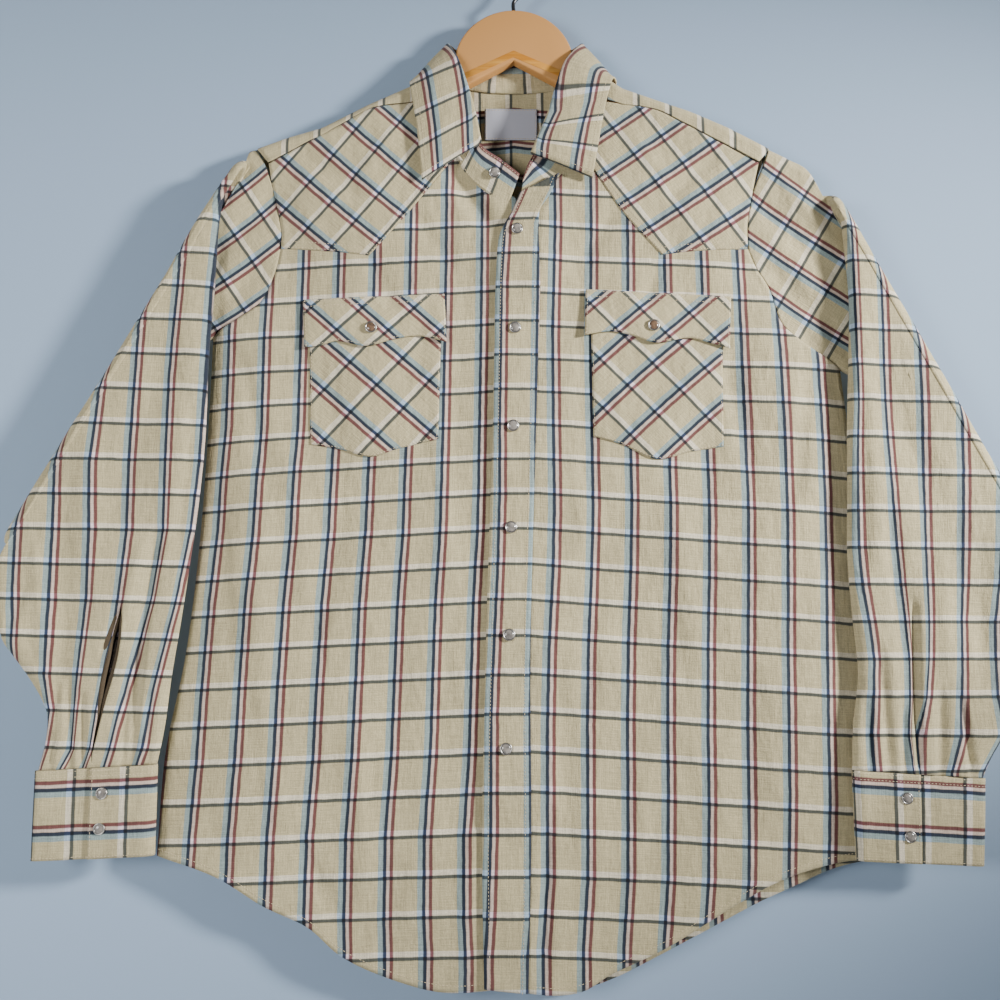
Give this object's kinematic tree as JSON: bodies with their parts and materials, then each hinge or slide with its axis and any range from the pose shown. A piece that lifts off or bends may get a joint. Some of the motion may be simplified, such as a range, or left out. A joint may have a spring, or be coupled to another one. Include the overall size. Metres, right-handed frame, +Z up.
{
  "type": "western snap shirt on a wooden hanger",
  "caption": "Long-sleeved western shirt in checked cloth, pointed yokes, flap pockets and pearl snaps, hung flat on a wooden hanger by its hook.",
  "frame": {"origin": "inside top of the hanger's hook, where the rail touches it", "axes": "+Z up, +X to the viewer's right (the wearer's left), the shirt's front faces -Y"},
  "size_m": [0.968, 0.0405, 1.0026],
  "materials": {
    "cloth": "plain-woven checked cotton blend, matte",
    "label": "woven satin label, plain",
    "pearl_snap": "pearl cap in a nickel rim, glossy",
    "bronze_snap": "brown pearl cap in a nickel rim, glossy",
    "wood": "varnished beech, golden brown",
    "hook_steel": "dark bright wire"
  },
  "bodies": {
    "root": {"front_right": "cloth", "front_left": "cloth", "front_yoke_right": "cloth", "front_yoke_left": "cloth", "back_yoke": "cloth", "back": "cloth", "sleeve_right": "cloth", "sleeve_left": "cloth", "collar_stand": "cloth", "collar_leaf": "cloth", "front_band": "cloth", "pocket_right": "cloth", "pocket_left": "cloth", "pocket_flap_right": "cloth", "pocket_flap_left": "cloth", "cuff_right": "cloth", "cuff_left": "cloth", "slit_binding_right": "cloth", "snap_collar": "pearl_snap", "snap_band_1": "pearl_snap", "snap_band_2": "pearl_snap", "snap_band_3": "pearl_snap", "snap_band_4": "pearl_snap", "snap_band_5": "pearl_snap", "snap_band_6": "pearl_snap", "snap_cuff_right_1": "pearl_snap", "snap_cuff_right_2": "pearl_snap", "snap_cuff_left_1": "pearl_snap", "snap_cuff_left_2": "pearl_snap", "snap_flap_right": "bronze_snap", "snap_flap_left": "bronze_snap", "neck_label": "label", "hanger_body": "wood", "hanger_hook": "hook_steel"}
  },
  "joints": []
}
